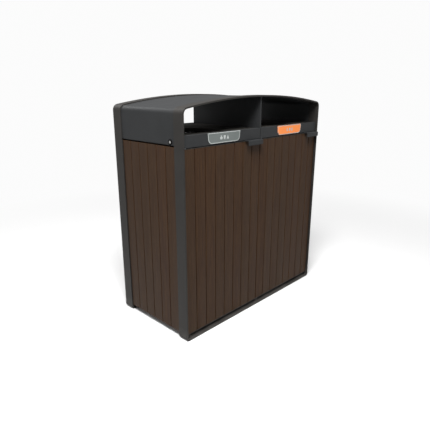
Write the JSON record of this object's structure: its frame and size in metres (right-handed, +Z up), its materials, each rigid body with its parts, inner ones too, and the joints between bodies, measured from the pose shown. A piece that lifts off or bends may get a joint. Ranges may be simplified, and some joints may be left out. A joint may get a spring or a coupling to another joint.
{
  "type": "litter bin",
  "caption": "Street litter bin with side-by-side compartments: arched steel frame and hood, timber slats, hinged doors, labelled throw-in slots, chutes and lift-out liners.",
  "frame": {"origin": "on the ground, at the centre of the four ground anchor holes, under the middle of the two frame loops", "axes": "+Z up, +X to the right seen from the front, where the doors and labels are, +Y to the rear"},
  "size_m": [1.11, 0.555, 1.1998],
  "materials": {
    "dark_powder_coat": "matt anthracite powder coat on galvanised sheet steel",
    "oiled_hardwood": "sawn and planed tropical hardwood, oiled, weathered brown",
    "galvanised_steel": "hot-dip galvanised",
    "stainless_steel": "fine brushed",
    "lock_black": "black zinc die casting",
    "grey_label": "printed sheet, satin grey",
    "orange_label": "printed sheet, satin orange",
    "buffer_rubber": "moulded, matt"
  },
  "bodies": {
    "carcass": {"anchor_pads": "galvanised_steel", "base_plate": "dark_powder_coat", "bottom_hinge_pins": "stainless_steel", "divider": "dark_powder_coat", "door_buffers": "buffer_rubber", "front_centre_post": "dark_powder_coat", "front_frame": "dark_powder_coat", "front_left_post": "dark_powder_coat", "front_right_post": "dark_powder_coat", "hinge_brackets": "galvanised_steel", "hood": "dark_powder_coat", "left_chute_plate": "dark_powder_coat", "left_front_fascia": "dark_powder_coat", "left_label": "grey_label", "left_liner": "galvanised_steel", "left_rear_fascia": "dark_powder_coat", "left_side_rails": "dark_powder_coat", "left_side_slats": "oiled_hardwood", "left_top_angle": "dark_powder_coat", "liner_guides": "galvanised_steel", "lock_housing": "lock_black", "lock_nut": "stainless_steel", "panel_screws": "stainless_steel", "partition": "dark_powder_coat", "pivot_blocks": "dark_powder_coat", "rear_centre_post": "dark_powder_coat", "rear_frame": "dark_powder_coat", "rear_left_post": "dark_powder_coat", "rear_rails": "dark_powder_coat", "rear_right_post": "dark_powder_coat", "rear_slats": "oiled_hardwood", "right_chute_plate": "dark_powder_coat", "right_front_fascia": "dark_powder_coat", "right_label": "orange_label", "right_liner": "galvanised_steel", "right_rear_fascia": "dark_powder_coat", "right_side_rails": "dark_powder_coat", "right_side_slats": "oiled_hardwood", "right_top_angle": "dark_powder_coat", "shaft_blocks": "galvanised_steel", "top_hinge_pins": "stainless_steel"},
    "left_door": {"left_door_frame": "dark_powder_coat", "left_door_crossbars": "dark_powder_coat", "left_door_slats": "oiled_hardwood", "left_door_screws": "stainless_steel", "left_handle": "dark_powder_coat", "left_handle_screws": "stainless_steel", "left_keeper": "galvanised_steel"},
    "right_door": {"right_door_frame": "dark_powder_coat", "right_door_crossbars": "dark_powder_coat", "right_door_slats": "oiled_hardwood", "right_door_screws": "stainless_steel", "right_handle": "dark_powder_coat", "right_handle_screws": "stainless_steel", "right_keeper": "galvanised_steel"},
    "lock": {"lock_core": "stainless_steel", "lock_shaft": "stainless_steel", "left_claw": "galvanised_steel", "right_claw": "galvanised_steel", "shaft_collars": "stainless_steel"}
  },
  "joints": [
    {"name": "left_door_hinge", "type": "hinge", "parent": "carcass", "child": "left_door", "pos_m": [-0.53, -0.2505, 0.5], "axis": [0, 0, -1], "range_deg": [0, 100]},
    {"name": "right_door_hinge", "type": "hinge", "parent": "carcass", "child": "right_door", "pos_m": [0.0155, -0.2505, 0.5], "axis": [0, 0, -1], "range_deg": [0, 100]},
    {"name": "lock_turn", "type": "hinge", "parent": "carcass", "child": "lock", "pos_m": [-0.5, -0.177, 1], "axis": [1, 0, 0], "range_deg": [0, 65]}
  ]
}
